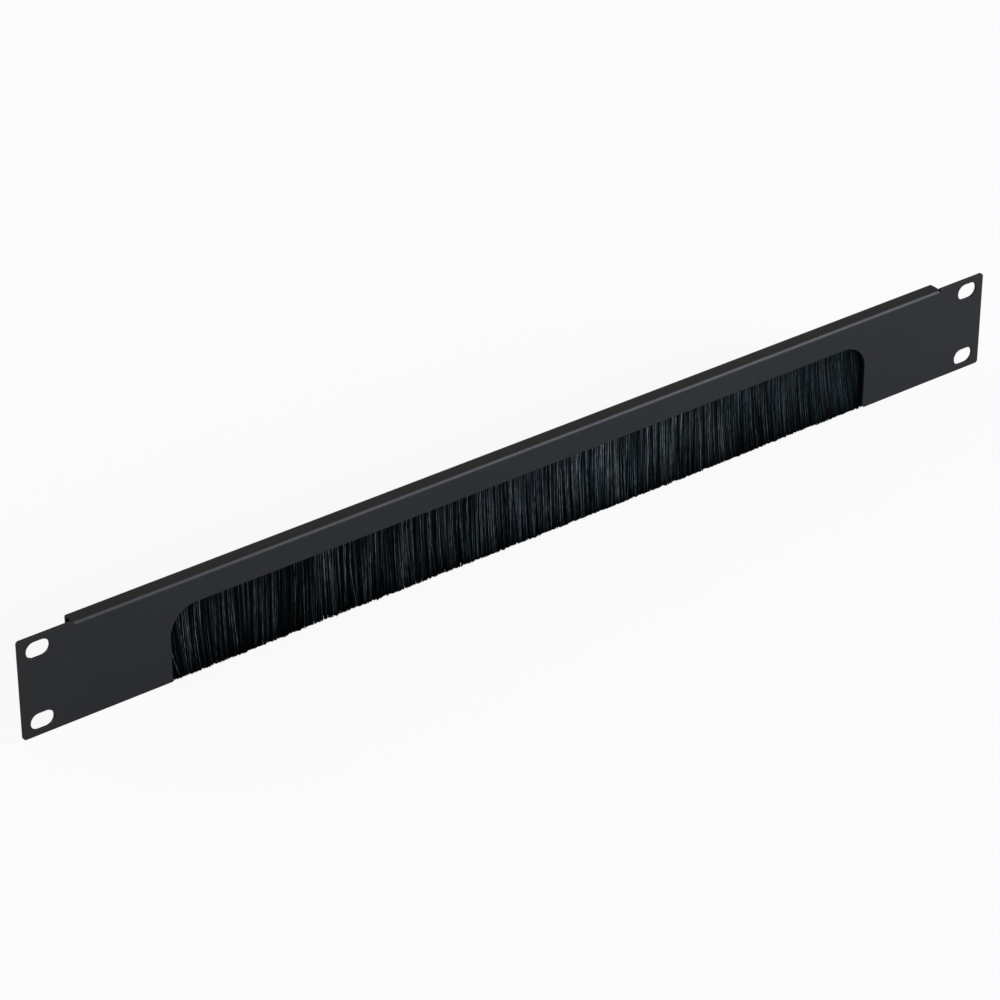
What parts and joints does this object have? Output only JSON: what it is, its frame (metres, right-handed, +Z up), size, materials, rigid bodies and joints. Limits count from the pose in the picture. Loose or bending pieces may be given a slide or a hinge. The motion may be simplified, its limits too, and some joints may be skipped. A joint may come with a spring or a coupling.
{
  "type": "rack brush strip panel",
  "caption": "Folded black steel rack panel with a cable notch that is open at the bottom and closed by a strip brush hanging from the pocket along its top edge.",
  "frame": {"origin": "middle of the four mounting slots, on the rear face of the ears, where they bear on the rack's rails", "axes": "+X runs across the rack to the right seen from the front, +Y runs back into the rack, +Z is up"},
  "size_m": [0.4826, 0.0098, 0.0454],
  "materials": {
    "powder_coated_steel": "satin black fine-texture powder coat",
    "galvanised_steel": "hot-dip galvanised strip, dull",
    "steel_wire": "drawn, plain",
    "nylon_filament": "extruded black nylon, smooth",
    "zinc_plated_steel": "bright zinc plate"
  },
  "bodies": {
    "root": {"front_panel": "powder_coated_steel", "brush_channel": "galvanised_steel", "core_wire": "steel_wire", "bristles": "nylon_filament", "screw_1": "zinc_plated_steel", "screw_2": "zinc_plated_steel", "screw_3": "zinc_plated_steel", "screw_4": "zinc_plated_steel", "screw_5": "zinc_plated_steel", "screw_6": "zinc_plated_steel", "washer_1": "zinc_plated_steel", "washer_2": "zinc_plated_steel", "washer_3": "zinc_plated_steel", "washer_4": "zinc_plated_steel", "washer_5": "zinc_plated_steel", "washer_6": "zinc_plated_steel"}
  },
  "joints": []
}
